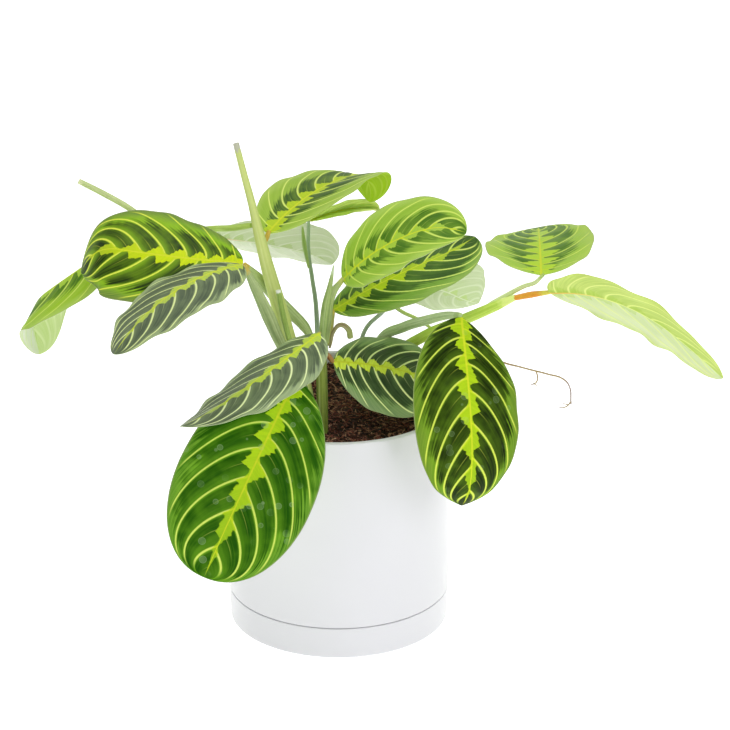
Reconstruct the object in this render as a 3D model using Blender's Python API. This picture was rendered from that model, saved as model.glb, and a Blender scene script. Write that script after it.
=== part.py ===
"""Potted prayer plant (maranta): leaves on arching canes, planted in a white pot on a flush saucer.

The origin is the centre of the saucer's flat underside, +Z is up and the front of the plant is -Y.
Sizes and places below are in millimetres and angles in degrees; Blender's own unit is the metre.
"""

import math
from dataclasses import dataclass

import bmesh
import bpy
from mathutils import Vector

MM = 0.001
GAP = 0.3  # clearance that pieces resting on each other keep

# Saucer
SAUCER_HEIGHT = 20.3
SAUCER_BASE_RADIUS = 67.5
SAUCER_RIM_RADIUS = 68.3
SAUCER_WALL = 3.2
SAUCER_FLOOR = 3.0
SAUCER_CORNER = 2.0  # inner corner between floor and wall
SAUCER_CHAMFER = 1.6  # eased outer edge at the underside

# Pot: a slightly flared wall above the saucer, and a narrower foot that stands inside it
POT_HEIGHT = 146.2
POT_SHOULDER_RADIUS = 68.5
POT_RIM_RADIUS = 71.7
POT_WALL = 3.4
POT_FLOOR = 4.5
POT_CORNER = 4.0  # inner corner between floor and wall
SEAM = 0.5  # open groove between the saucer's rim and the pot's shoulder
SHOULDER = SAUCER_HEIGHT + SEAM
SHOULDER_SLOPE = 12.0  # height over which the inside widens from the foot to the wall
FOOT_BOTTOM = SAUCER_FLOOR + GAP
FOOT_CHAMFER = 3.0
FOOT_CLEARANCE = 0.6
FOOT_RADIUS = SAUCER_BASE_RADIUS - SAUCER_WALL - FOOT_CLEARANCE
FLOOR_TOP = FOOT_BOTTOM + POT_FLOOR
DRAIN_RADIUS = 6.0
LIP_ROUND = 0.8

# Soil
SOIL_TOP = 139.0
SOIL_CROWN = 1.0  # how much higher the middle is than the edge
SOIL_EDGE = 2.0  # eased edge of the soil's top
SOIL_SIDE_GAP = 2 * GAP
HOLE_CLEARANCE = 3 * GAP
PLANTING_DEPTH = 13.0

TURNED_STEPS = 56
BLADE_THICKNESS = 0.6
BLADE_ROWS = 11
BLADE_COLUMNS = (-1.0, -0.55, 0.0, 0.55, 1.0)
MIDRIB_STEPS = 120
CANE_SIDES_FROM = 2.0  # a stem this thick gets eight sides, a thinner one six


@dataclass(frozen=True)
class Look:
    """Colour and roughness of one finish."""

    name: str
    colour: tuple
    roughness: float


GLAZE = Look("white_glaze", (0.86, 0.87, 0.88), 0.22)
PEAT = Look("peat", (0.055, 0.024, 0.016), 0.95)
DARK_LEAF = Look("dark_leaf", (0.05, 0.16, 0.02), 0.38)
LIME_LEAF = Look("lime_leaf", (0.32, 0.52, 0.06), 0.4)
PALE_LEAF = Look("pale_leaf", (0.50, 0.62, 0.38), 0.5)
GREEN_STEM = Look("green_stem", (0.24, 0.38, 0.09), 0.45)
DARK_STEM = Look("dark_stem", (0.09, 0.17, 0.06), 0.45)
DRY_STEM = Look("dry_stem", (0.36, 0.24, 0.12), 0.8)


@dataclass(frozen=True)
class Leaf:
    """One blade: where its stalk end is, its outline, and how its midrib and its two halves bend.

    heading is the compass angle from +X and pitch the rise, both at the stalk end. arch and sweep are
    what they change by along the midrib, and curl is a further bend past curl_from. roll and twist turn
    the blade about its midrib, fold lifts both halves along the midrib, and cup rounds them upwards.
    """

    name: str
    base: tuple
    length: float
    width: float
    heading: float
    pitch: float
    arch: float = 0.0
    sweep: float = 0.0
    roll: float = 0.0
    twist: float = 0.0
    fold: float = 0.0
    cup: float = 2.0
    curl: float = 0.0
    curl_from: float = 0.65
    widest: float = 0.47
    blunt: float = 0.59
    look: Look = DARK_LEAF


LEAVES = [
    Leaf("leaf_upper_left", (-57, -23, 244), 115, 69, 170, 0, arch=-1, sweep=-20, roll=-21, twist=-20,
         fold=-8, curl=-63, widest=0.56, blunt=0.54),
    Leaf("leaf_lower_left", (-57, -38, 249), 106, 63, 215, 5, arch=-44, sweep=12, twist=17, fold=-9, curl=-3),
    Leaf("leaf_far_left", (-132, 34, 237.5), 115, 57, 184, -37, arch=-6, sweep=-66, roll=-10, fold=-24,
         cup=3, curl=-80, curl_from=0.56, widest=0.5, blunt=0.5, look=LIME_LEAF),
    Leaf("leaf_top", (-42, -12, 259), 119, 57, 56, 22, arch=-40, sweep=-8, roll=1, twist=-17, fold=4,
         cup=4, curl=-80, curl_from=0.72, blunt=0.67),
    Leaf("leaf_top_young", (-18, 55, 240), 60, 21, 43, 5, arch=-25, roll=59, fold=62, cup=9, curl=-8),
    Leaf("leaf_behind_left", (-82, 45, 234), 99, 60, 30, -15, arch=-12, sweep=3, roll=-35, twist=-5,
         fold=8, cup=6, curl=-10, look=PALE_LEAF),
    Leaf("leaf_centre_upper", (3, -18, 231), 90, 55, -14, 52, arch=-43, roll=34, twist=-6, fold=5, cup=4,
         curl=-24, look=LIME_LEAF),
    Leaf("leaf_centre_lower", (-3, -2, 204), 103, 65, 16, 28, arch=-26, sweep=20, roll=1, fold=-8, curl=15,
         blunt=0.5),
    Leaf("leaf_behind_centre", (41, 42, 205), 87, 54, 51, -21, arch=-17, sweep=3, roll=-31, twist=-20,
         fold=11, cup=7, curl=13, look=PALE_LEAF),
    Leaf("leaf_right_upper", (124, 12, 222), 113, 68, 89, 4, arch=-23, twist=-11, fold=2, cup=3, curl=4,
         blunt=0.61, look=LIME_LEAF),
    Leaf("leaf_far_right", (129, 8, 212), 130, 62, -32, 17, arch=-64, sweep=-2, roll=-48, twist=-8,
         fold=-4, curl=12, look=PALE_LEAF),
    Leaf("leaf_front_right", (74, -55, 222), 135, 68, -86, -24, arch=-99, sweep=15, roll=-22, twist=30,
         fold=-12, cup=-4, curl=-16, widest=0.45, blunt=0.61),
    Leaf("leaf_over_soil", (-3, -24, 180), 77, 65, 4, -4, arch=-22, sweep=1, roll=21, twist=11, fold=-12,
         cup=-3, curl=-16),
    Leaf("leaf_front_left", (-11, -47, 208), 113, 60, 226, -16, sweep=-7, roll=1, twist=18, fold=-12,
         cup=1, curl=8),
    Leaf("leaf_lower_front", (-25, -63, 186), 137, 84, 240, -38, arch=-6, sweep=-3, roll=-31, twist=1,
         fold=-1, cup=1, curl=-2, widest=0.56, blunt=0.45),
]


@dataclass(frozen=True)
class Stem:
    """One cane, stalk or sheath: its route as (x, y, z, radius) points, from its lower end up."""

    name: str
    route: list
    look: Look = GREEN_STEM
    planted: bool = False


STEMS = [
    Stem("stem_main", [
        (-9.5, -38, 140, 3.2), (-9.5, -35.5, 160, 3.2), (-10, -31, 178, 3.2), (-10.5, -28.5, 190, 3),
    ], planted=True),
    Stem("cane_tall", [
        (-15.5, -31, 140, 2.4), (-20, -28, 166, 3.6), (-29, -25, 191, 4.6), (-35, -22, 213, 4.4),
        (-41.5, -19, 236, 3.9), (-46.5, -17, 256, 3.2), (-51.5, -14, 278, 2.2), (-57, -10, 299, 1.9),
        (-61, -8, 315.5, 1.7),
    ], planted=True),
    Stem("stalk_top", [
        (-43, -13.6, 256.4, 1.5), (-42.3, -12.7, 258.2, 1.5),
    ]),
    Stem("stub_cut", [
        (-29.5, -36.5, 200, 1.6), (-33, -34, 214, 1.7), (-36, -31, 229.5, 1.5),
    ]),
    Stem("stalk_lower_left", [
        (-17.5, -39, 160, 1.8), (-25, -39.5, 180, 3), (-34.5, -38.5, 198, 3.8), (-41.5, -38, 215, 3.8),
        (-49.5, -38.5, 234, 2.8), (-55, -38, 246, 1.5),
    ], look=DARK_STEM),
    Stem("stalk_upper_left", [
        (-16, -22, 194, 1.8), (-20.5, -17, 200, 3), (-28.5, -11.5, 206.5, 3.4), (-38.5, -8, 216, 3.4),
        (-48, -13.5, 230, 3), (-55, -21, 241, 1.5),
    ]),
    Stem("stalk_top_young", [
        (-12.5, -21.5, 196, 1.4), (-13.5, -8, 210, 1.3), (-16, 14, 219, 1.2), (-18.5, 36, 228, 1.2),
        (-18.5, 53, 238.5, 1),
    ], look=DARK_STEM),
    Stem("sheath_top_young", [
        (-18.5, 19, 226, 0.8), (-21, 33, 234, 1.3), (-22.5, 46, 243, 0.4),
    ], look=DARK_STEM),
    Stem("leaf_spear", [
        (-9, -33.5, 194, 1.4), (-8.5, -32, 208, 2.3), (-7, -31, 220, 2.3), (-4.5, -29.5, 233, 1.3),
        (-2.5, -28, 244.5, 0.4),
    ]),
    Stem("stalk_centre_upper", [
        (-7, -26, 195.5, 1.6), (-6, -24, 210, 2.4), (-3, -21.5, 224, 2.2), (1.8, -18.6, 230, 1.5),
    ]),
    Stem("stalk_centre_lower", [
        (-6, -21.5, 192, 1.4), (-5, -14, 198.5, 2.2), (-3.6, -4.5, 203, 1.6),
    ], look=DRY_STEM),
    Stem("dry_curl", [
        (-4.5, -33, 195, 0.8), (-2.5, -34, 204, 1.1), (1.5, -35, 208.5, 1.4), (6, -35, 206, 1.7),
        (7.5, -34, 200, 1.8),
    ], look=DRY_STEM),
    Stem("stalk_front_left", [
        (-11, -38, 196, 1.6), (-11.5, -42, 202, 1.8), (-11.3, -45, 206, 1.3),
    ]),
    Stem("stalk_over_soil", [
        (-5.6, -26, 184, 1.6), (-4.2, -24.6, 181.2, 1.5),
    ], look=DRY_STEM),
    Stem("stalk_lower_front", [
        (-15.5, -43.5, 140, 1.8), (-15.5, -46, 155, 1.8), (-18.5, -53, 171, 2), (-24, -61.8, 185, 1.4),
    ], look=DARK_STEM, planted=True),
    Stem("cane_front_right", [
        (24, 20, 140, 2.8), (22.5, 19, 160, 3), (27, 18, 177, 3), (40, 8.5, 188.5, 3),
        (53, -12, 201.5, 2.9), (65, -35, 214.5, 2.4), (72.5, -53, 222.5, 1.6),
    ], look=DARK_STEM, planted=True),
    Stem("stalk_behind_centre", [
        (14.5, 25, 140, 1.3), (13.5, 25, 164, 1.3), (16.5, 27, 179, 1.2), (28.5, 33, 190, 1.2),
        (40, 41, 204, 1.1),
    ], look=DARK_STEM, planted=True),
    Stem("cane_right", [
        (34, 30, 140, 2.8), (37.5, 27, 162, 3.1), (53, 18, 178.5, 3.3), (68.5, 14, 187.5, 3.3),
        (83.5, 11, 195.5, 3.3), (97.5, 9, 203, 3), (106, 8, 207.5, 2),
    ], planted=True),
    Stem("stalk_thin_pale", [
        (57.5, 24, 181, 0.9), (49, 27, 186, 1.1), (39, 31, 189.5, 1.2), (28.5, 41, 194, 0.9),
    ]),
    Stem("stalk_right_upper", [
        (103.5, 12.5, 209.5, 1.2), (113.5, 11.5, 214.5, 1.3), (120.5, 9.5, 218, 1.2),
        (123.8, 10.6, 221, 1),
    ]),
    Stem("stalk_far_right", [
        (108.5, 7.5, 208.6, 1.7), (117.5, 7.5, 210.5, 2), (127.6, 8, 211.8, 1.4),
    ], look=DRY_STEM),
    Stem("cane_left", [
        (-54, -9, 262.5, 1.7), (-64, 1, 257, 1.9), (-78, 18, 249.5, 1.9), (-95, 29, 243, 1.8),
        (-113, 34, 239, 1.6), (-129.5, 34, 238.5, 1.2),
    ]),
    Stem("stalk_behind_left", [
        (-80, 26, 245, 1.1), (-83, 37, 238.5, 1.2), (-82.3, 43.8, 234.6, 0.9),
    ]),
    Stem("stalk_cut_left", [
        (-112, 39, 241, 1.4), (-122, 42, 248.5, 1.7), (-129, 42, 254, 1.8), (-144.5, 42, 263.5, 1.8),
        (-159, 42, 271.5, 1.6),
    ]),
    Stem("dry_runner", [
        (76, 16, 186.5, 0.7), (87, 13, 173, 0.7), (98, 11, 165.5, 0.6), (113, 10, 161, 0.5),
        (129, 10, 156.5, 0.5), (138, 10, 153.5, 0.5), (142, 10, 149, 0.4), (143.5, 10, 136.5, 0.4),
    ], look=DRY_STEM),
]


def clear_scene():
    for obj in list(bpy.data.objects):
        bpy.data.objects.remove(obj, do_unlink=True)


def finish(obj, look):
    """Gives the object its own material in the look's colour and links it into the scene."""
    material = bpy.data.materials.new(f"{look.name}_{obj.name}")
    material.use_nodes = True
    surface = material.node_tree.nodes["Principled BSDF"]
    surface.inputs["Base Color"].default_value = (*look.colour, 1)
    surface.inputs["Roughness"].default_value = look.roughness
    obj.data.materials.append(material)
    bpy.context.scene.collection.objects.link(obj)
    return obj


def turned(name, profile, look, closed):
    """A body turned about Z from (radius, height) points that run down its outer side.

    A closed profile is a ring that stays off the axis; an open one starts and ends on the axis.
    """
    mesh = bpy.data.meshes.new(name)
    count = len(profile)
    edges = [(i, (i + 1) % count) for i in range(count if closed else count - 1)]
    mesh.from_pydata([(r * MM, 0, z * MM) for r, z in profile], edges, [])
    body = finish(bpy.data.objects.new(name, mesh), look)
    screw = body.modifiers.new("turning", "SCREW")
    screw.steps = screw.render_steps = TURNED_STEPS
    screw.use_merge_vertices = True
    screw.merge_threshold = 0.01 * MM
    screw.use_smooth_shade = True
    return body


def make_saucer():
    inner_rim = SAUCER_RIM_RADIUS - SAUCER_WALL
    inner_base = SAUCER_BASE_RADIUS - SAUCER_WALL
    profile = [
        (0, SAUCER_FLOOR),
        (inner_base - SAUCER_CORNER, SAUCER_FLOOR),
        (inner_base, SAUCER_FLOOR + SAUCER_CORNER),
        (inner_rim, SAUCER_HEIGHT - LIP_ROUND),
        (inner_rim + LIP_ROUND, SAUCER_HEIGHT),
        (SAUCER_RIM_RADIUS - LIP_ROUND, SAUCER_HEIGHT),
        (SAUCER_RIM_RADIUS, SAUCER_HEIGHT - LIP_ROUND),
        (SAUCER_BASE_RADIUS, SAUCER_CHAMFER),
        (SAUCER_BASE_RADIUS - SAUCER_CHAMFER, 0),
        (0, 0),
    ]
    return turned("saucer", profile, GLAZE, closed=False)


def pot_inside(z):
    """Inner radius of the pot at height z: parallel to its flared wall, and narrower in the foot."""
    flare = (POT_RIM_RADIUS - POT_SHOULDER_RADIUS) * max(z - SHOULDER, 0) / (POT_HEIGHT - SHOULDER)
    foot = FOOT_RADIUS - POT_WALL
    wall = POT_SHOULDER_RADIUS + flare - POT_WALL
    return foot + (wall - foot) * min(max((z - SHOULDER) / SHOULDER_SLOPE, 0), 1)


def make_pot():
    profile = [
        (pot_inside(POT_HEIGHT) + LIP_ROUND, POT_HEIGHT),
        (POT_RIM_RADIUS - LIP_ROUND, POT_HEIGHT),
        (POT_RIM_RADIUS, POT_HEIGHT - LIP_ROUND),
        (POT_SHOULDER_RADIUS, SHOULDER + LIP_ROUND),
        (POT_SHOULDER_RADIUS - LIP_ROUND, SHOULDER),
        (FOOT_RADIUS, SHOULDER),
        (FOOT_RADIUS, FOOT_BOTTOM + FOOT_CHAMFER),
        (FOOT_RADIUS - FOOT_CHAMFER, FOOT_BOTTOM),
        (DRAIN_RADIUS, FOOT_BOTTOM),
        (DRAIN_RADIUS, FLOOR_TOP),
        (pot_inside(0) - POT_CORNER, FLOOR_TOP),
        (pot_inside(0), FLOOR_TOP + POT_CORNER),
        (pot_inside(SHOULDER), SHOULDER),
        (pot_inside(SHOULDER + SHOULDER_SLOPE), SHOULDER + SHOULDER_SLOPE),
        (pot_inside(POT_HEIGHT - LIP_ROUND), POT_HEIGHT - LIP_ROUND),
    ]
    return turned("pot", profile, GLAZE, closed=True)


def planting_hole(stem):
    """A cutter for the soil that leaves room round the straight foot of a planted stem."""
    x, y, _, radius = stem.route[0]
    wide = (radius + HOLE_CLEARANCE) * MM
    deep = (PLANTING_DEPTH + GAP) * MM
    mesh = bpy.data.meshes.new(f"planting_hole_{stem.name}")
    shape = bmesh.new()
    bmesh.ops.create_cone(shape, cap_ends=True, segments=12, depth=2 * deep, radius1=wide, radius2=wide)
    shape.to_mesh(mesh)
    shape.free()
    hole = bpy.data.objects.new(mesh.name, mesh)
    hole.location = Vector((x, y, SOIL_TOP)) * MM
    hole.hide_render = True
    hole.display_type = "WIRE"
    bpy.context.scene.collection.objects.link(hole)
    return hole


def make_soil():
    """The soil fills the pot and has a hole for each planted stem."""
    bottom = FLOOR_TOP + GAP
    slope_top = SHOULDER + SHOULDER_SLOPE
    level_to = 0.6 * pot_inside(SOIL_TOP)
    profile = [
        (0, SOIL_TOP + SOIL_CROWN),
        (level_to, SOIL_TOP + SOIL_CROWN),
        (pot_inside(SOIL_TOP) - SOIL_SIDE_GAP - SOIL_EDGE, SOIL_TOP),
        (pot_inside(SOIL_TOP - SOIL_EDGE) - SOIL_SIDE_GAP, SOIL_TOP - SOIL_EDGE),
        (pot_inside(slope_top) - SOIL_SIDE_GAP, slope_top),
        (pot_inside(SHOULDER) - SOIL_SIDE_GAP, SHOULDER),
        (pot_inside(0) - SOIL_SIDE_GAP, bottom + POT_CORNER),
        (pot_inside(0) - SOIL_SIDE_GAP - POT_CORNER, bottom),
        (0, bottom),
    ]
    soil = turned("soil", profile, PEAT, closed=False)
    for stem in STEMS:
        if stem.planted:
            cut = soil.modifiers.new(f"hole_for_{stem.name}", "BOOLEAN")
            cut.operation = "DIFFERENCE"
            cut.object = planting_hole(stem)
    return soil


def make_stem(stem):
    """A round tube along the stem's route. A planted one goes straight down into the soil first."""
    route = list(stem.route)
    if stem.planted:
        x, y, z, radius = route[0]
        route.insert(0, (x, y, z - PLANTING_DEPTH, radius))
    curve = bpy.data.curves.new(stem.name, "CURVE")
    curve.dimensions = "3D"
    curve.resolution_u = 4
    curve.bevel_depth = MM
    thick = max(point[3] for point in route) >= CANE_SIDES_FROM
    curve.bevel_resolution = 2 if thick else 1
    curve.use_fill_caps = True
    spline = curve.splines.new("BEZIER")
    spline.bezier_points.add(len(route) - 1)
    for point, (x, y, z, radius) in zip(spline.bezier_points, route):
        point.co = Vector((x, y, z)) * MM
        point.radius = radius
        point.handle_left_type = point.handle_right_type = "AUTO"
    return finish(bpy.data.objects.new(stem.name, curve), stem.look)


def ease(value):
    value = min(max(value, 0.0), 1.0)
    return value * value * (3 - 2 * value)


def direction(leaf, s):
    """Unit direction of the midrib at s, from 0 at the stalk to 1 at the tip, and its level cross line."""
    heading = math.radians(leaf.heading + leaf.sweep * s)
    curl = leaf.curl * ease((s - leaf.curl_from) / (1 - leaf.curl_from))
    pitch = math.radians(leaf.pitch + leaf.arch * s + curl)
    level = math.cos(pitch)
    along = Vector((level * math.cos(heading), level * math.sin(heading), math.sin(pitch)))
    return along, Vector((-math.sin(heading), math.cos(heading), 0))


def midrib(leaf):
    """Points along the midrib, found by stepping along its direction."""
    step = leaf.length / MIDRIB_STEPS
    points = [Vector(leaf.base)]
    for i in range(MIDRIB_STEPS):
        points.append(points[-1] + direction(leaf, (i + 0.5) / MIDRIB_STEPS)[0] * step)
    return points


def half_width(leaf, s):
    if s < leaf.widest:
        shape = (1 - ((leaf.widest - s) / leaf.widest) ** 2.2) ** 0.6
    else:
        shape = (1 - ((s - leaf.widest) / (1 - leaf.widest)) ** 2) ** leaf.blunt
    return leaf.width / 2 * shape


def blade_point(leaf, ribs, s, t):
    """The blade's point at s along the midrib and t across, from -1 at one margin to 1 at the other."""
    along, level = direction(leaf, s)
    up = along.cross(level)
    roll = math.radians(leaf.roll + leaf.twist * s)
    across = level * math.cos(roll) + up * math.sin(roll)
    face = up * math.cos(roll) - level * math.sin(roll)
    cup = math.radians(leaf.cup or 0.01)
    fold = math.radians(leaf.fold)
    out = math.sin(cup * abs(t)) / cup
    rise = (1 - math.cos(cup * abs(t))) / cup
    side = math.copysign(out * math.cos(fold) - rise * math.sin(fold), t)
    lift = out * math.sin(fold) + rise * math.cos(fold)
    return ribs[round(s * MIDRIB_STEPS)] + (across * side + face * lift) * half_width(leaf, s)


def make_blade(leaf):
    """The blade as one sheet from stalk to tip, given its thickness by Solidify."""
    ribs = midrib(leaf)
    shape = bmesh.new()
    stalk = shape.verts.new(ribs[0] * MM)
    tip = shape.verts.new(ribs[-1] * MM)
    rows = []
    for i in range(1, BLADE_ROWS):
        s = round((1 - math.cos(math.pi * i / BLADE_ROWS)) / 2 * MIDRIB_STEPS) / MIDRIB_STEPS
        rows.append([shape.verts.new(blade_point(leaf, ribs, s, t) * MM) for t in BLADE_COLUMNS])
    for left in range(len(BLADE_COLUMNS) - 1):
        right = left + 1
        shape.faces.new((stalk, rows[0][right], rows[0][left]))
        for near, far in zip(rows, rows[1:]):
            shape.faces.new((near[left], near[right], far[right], far[left]))
        shape.faces.new((tip, rows[-1][left], rows[-1][right]))
    bmesh.ops.recalc_face_normals(shape, faces=shape.faces)
    bmesh.ops.triangulate(shape, faces=shape.faces)
    mesh = bpy.data.meshes.new(leaf.name)
    shape.to_mesh(mesh)
    shape.free()
    mesh.shade_smooth()
    blade = finish(bpy.data.objects.new(leaf.name, mesh), leaf.look)
    solid = blade.modifiers.new("thickness", "SOLIDIFY")
    solid.thickness = BLADE_THICKNESS * MM
    solid.offset = 0
    return blade


clear_scene()
make_saucer()
make_pot()
make_soil()
for one_stem in STEMS:
    make_stem(one_stem)
for one_leaf in LEAVES:
    make_blade(one_leaf)
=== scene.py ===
"""The looks of the potted prayer plant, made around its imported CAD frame.

Sizes below are in millimetres and angles in degrees unless a name says otherwise; meshes are in metres.
"""

import math
from collections import namedtuple

import bmesh
import bpy
import numpy as np
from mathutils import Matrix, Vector, noise


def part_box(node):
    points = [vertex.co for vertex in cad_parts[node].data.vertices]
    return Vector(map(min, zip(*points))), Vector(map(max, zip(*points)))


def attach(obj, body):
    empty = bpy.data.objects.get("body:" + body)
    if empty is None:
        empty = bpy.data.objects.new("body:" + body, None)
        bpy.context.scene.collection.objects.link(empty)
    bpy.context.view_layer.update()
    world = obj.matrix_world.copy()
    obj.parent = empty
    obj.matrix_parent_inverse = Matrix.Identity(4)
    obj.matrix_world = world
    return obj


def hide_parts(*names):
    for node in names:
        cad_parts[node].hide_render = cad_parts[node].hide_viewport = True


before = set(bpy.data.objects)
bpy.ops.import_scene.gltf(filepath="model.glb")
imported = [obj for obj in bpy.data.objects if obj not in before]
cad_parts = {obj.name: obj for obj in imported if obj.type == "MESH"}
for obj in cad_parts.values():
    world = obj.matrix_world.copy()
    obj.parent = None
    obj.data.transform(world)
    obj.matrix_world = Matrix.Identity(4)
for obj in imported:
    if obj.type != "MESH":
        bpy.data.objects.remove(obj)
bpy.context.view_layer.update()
MM = 0.001


# ---- Studio ------------------------------------------------------------------------------------------
# A white sheet of card under the pot and a white room round it, as in a catalogue picture. Four round
# soft lamps: a strong one at the front right, one overhead, a weak one at the left and one at the right.

CAMERA_ELEVATION = 23.4
CAMERA_DISTANCE = 3.0
CAMERA_LENS = 241.36
SENSOR_WIDTH = 36.0
CAMERA_AIM = Vector((16.3, 0, 167)) * MM
FLOOR_SIZE = 12.0
FLOOR_DROP = 0.2
FLOOR_GLOW = 0.55
ROOM_DARK = (0.19, 0.19, 0.20, 1)
ROOM_LIGHT = (0.58, 0.58, 0.59, 1)


def tint(code):
    """A linear colour with alpha from an sRGB code of six hexadecimal digits."""
    channels = [int(code[i : i + 2], 16) / 255 for i in (0, 2, 4)]
    return [c / 12.92 if c <= 0.04045 else ((c + 0.055) / 1.055) ** 2.4 for c in channels] + [1]


def feed(socket, value):
    """Links a socket, or a node's first output, to an input, or sets a plain value on that input."""
    if isinstance(value, bpy.types.Node):
        value = value.outputs[0]
    if isinstance(value, bpy.types.NodeSocket):
        socket.id_data.links.new(value, socket)
    else:
        socket.default_value = value


def add_node(tree, kind, inputs=None, **settings):
    """A new node with its settings made, and its inputs fed by name or number."""
    node = tree.nodes.new(kind)
    for name, value in settings.items():
        setattr(node, name, value)
    for key, value in (inputs or {}).items():
        feed(node.inputs[key], value)
    return node


def calc(operation, *values):
    """Arithmetic on sockets and plain numbers, in the tree of the first socket among them."""
    tree = next(value.id_data for value in values if isinstance(value, bpy.types.NodeSocket))
    return add_node(tree, "ShaderNodeMath", dict(enumerate(values)), operation=operation).outputs[0]


def times(first, *others):
    for other in others:
        first = calc("MULTIPLY", first, other)
    return first


def linear(value, slope, start):
    return calc("MULTIPLY_ADD", value, slope, start)


def mixed(factor, first, second):
    """first where factor is 0 and second where it is 1."""
    node = add_node(factor.id_data, "ShaderNodeMix", {0: factor, 6: first, 7: second}, data_type="RGBA")
    return node.outputs[2]


def ramp(value, low, high):
    """0 below low and 1 above high, with a soft step between them. low may be the larger."""
    return add_node(value.id_data, "ShaderNodeMapRange", {0: value, 1: low, 2: high},
                    interpolation_type="SMOOTHSTEP").outputs[0]


def grain(place, scale, detail=2.0):
    return add_node(place.id_data, "ShaderNodeTexNoise",
                    {"Vector": place, "Scale": scale, "Detail": detail}).outputs[0]


def split(vector):
    return add_node(vector.id_data, "ShaderNodeSeparateXYZ", {0: vector}).outputs


def stored(tree, name, output="Fac"):
    return add_node(tree, "ShaderNodeAttribute", attribute_name=name).outputs[output]


def new_material(name):
    """A material with its tree, its Principled BSDF and its object coordinates."""
    material = bpy.data.materials.new(name)
    material.use_nodes = True
    tree = material.node_tree
    place = add_node(tree, "ShaderNodeTexCoord").outputs["Object"]
    return material, tree, tree.nodes["Principled BSDF"], place


def set_inputs(node, **values):
    for name, value in values.items():
        feed(node.inputs[name.replace("_", " ")], value)


def new_object(name, data):
    obj = bpy.data.objects.new(name, data)
    bpy.context.scene.collection.objects.link(obj)
    return obj


def white_room():
    world = bpy.data.worlds.new("white_room")
    bpy.context.scene.world = world
    world.use_nodes = True
    tree = world.node_tree
    direction = add_node(tree, "ShaderNodeTexCoord").outputs["Generated"]
    axes = split(direction)
    backward = linear(axes[1], 0.5, 0.5)
    height = linear(axes[2], 0.45, backward)
    glow = mixed(ramp(height, 0.05, 1.15), ROOM_DARK, ROOM_LIGHT)
    seen = add_node(tree, "ShaderNodeLightPath").outputs["Is Camera Ray"]
    background = tree.nodes["Background"]
    tree.links.new(mixed(seen, glow, (1, 1, 1, 1)), background.inputs["Color"])


def soft_lamp(name, place, size, power):
    """A round lamp at place that faces the middle of the plant."""
    light = bpy.data.lights.new(name, "AREA")
    light.shape = "DISK"
    light.size = size
    light.energy = power
    lamp = new_object(name, light)
    lamp.location = place
    lamp.rotation_euler = (CAMERA_AIM - Vector(place)).to_track_quat("-Z", "Y").to_euler()


def white_floor():
    half = FLOOR_SIZE / 2
    mesh = bpy.data.meshes.new("floor")
    low = -FLOOR_DROP * MM
    mesh.from_pydata([(-half, -half, low), (half, -half, low), (half, half, low), (-half, half, low)],
                     [], [(0, 1, 2, 3)])
    floor = new_object("floor", mesh)
    material, _, surface, place = new_material("white_card")
    set_inputs(surface, Base_Color=mixed(grain(place, 40), tint("f8f8f8"), tint("fbfbfb")),
               Roughness=0.9, Specular_IOR_Level=0.1, Emission_Color=(1, 1, 1, 1),
               Emission_Strength=FLOOR_GLOW)
    floor.data.materials.append(material)


def studio_camera():
    camera = new_object("camera", bpy.data.cameras.new("camera"))
    camera.data.lens = CAMERA_LENS
    camera.data.sensor_width = SENSOR_WIDTH
    rise = math.radians(CAMERA_ELEVATION)
    offset = Vector((0, -math.cos(rise), math.sin(rise))) * CAMERA_DISTANCE
    camera.location = CAMERA_AIM + offset
    camera.rotation_euler = (-offset).to_track_quat("-Z", "Y").to_euler()
    bpy.context.scene.camera = camera


bpy.context.scene.view_settings.view_transform = "Standard"
white_room()
white_floor()
studio_camera()
soft_lamp("key_lamp", (1.1, -1.9, 1.3), 1.5, 19)
soft_lamp("fill_lamp", (-1.6, -1.5, 0.7), 1.2, 7)
soft_lamp("top_lamp", (-0.2, 0.3, 1.9), 1.4, 13)
soft_lamp("side_lamp", (1.9, -0.5, 0.4), 1.2, 4)


# ---- Saucer ------------------------------------------------------------------------------------------
# A shallow dish of white glazed stoneware, turned on a wheel and fired. Its wall carries on the line of
# the pot above it, so that only the fine open groove between the two shows.

SAUCER_WALL = 3.2
SAUCER_FLOOR = 3.0
SAUCER_FLARE = 0.8
SAUCER_CORNER = 2.0
SAUCER_FOOT_EASE = 1.6
LIP_EASE = 0.8
TURNED_SIDES = 192
EASE_STEPS = 6
EASE_LEAD = 1.5


def rounded(corners):
    """A fine outline through (radius, height, ease) corners, each rounded from ease away on both sides."""
    outline = []
    for i, (r, z, ease) in enumerate(corners):
        corner = Vector((r, z))
        if not ease:
            outline.append(corner)
            continue
        before = (Vector(corners[i - 1][:2]) - corner).normalized()
        after = (Vector(corners[(i + 1) % len(corners)][:2]) - corner).normalized()
        outline.append(corner + before * ease * EASE_LEAD)
        for step in range(EASE_STEPS + 1):
            share = step / EASE_STEPS
            pull = before * (1 - share) ** 2 + after * share**2
            outline.append(corner + pull * ease)
        outline.append(corner + after * ease * EASE_LEAD)
    return outline


def finished(name, shape):
    """The smooth object that a bmesh makes, with its normals outwards."""
    bmesh.ops.recalc_face_normals(shape, faces=shape.faces)
    mesh = bpy.data.meshes.new(name)
    shape.to_mesh(mesh)
    shape.free()
    mesh.shade_smooth()
    return new_object(name, mesh)


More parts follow.
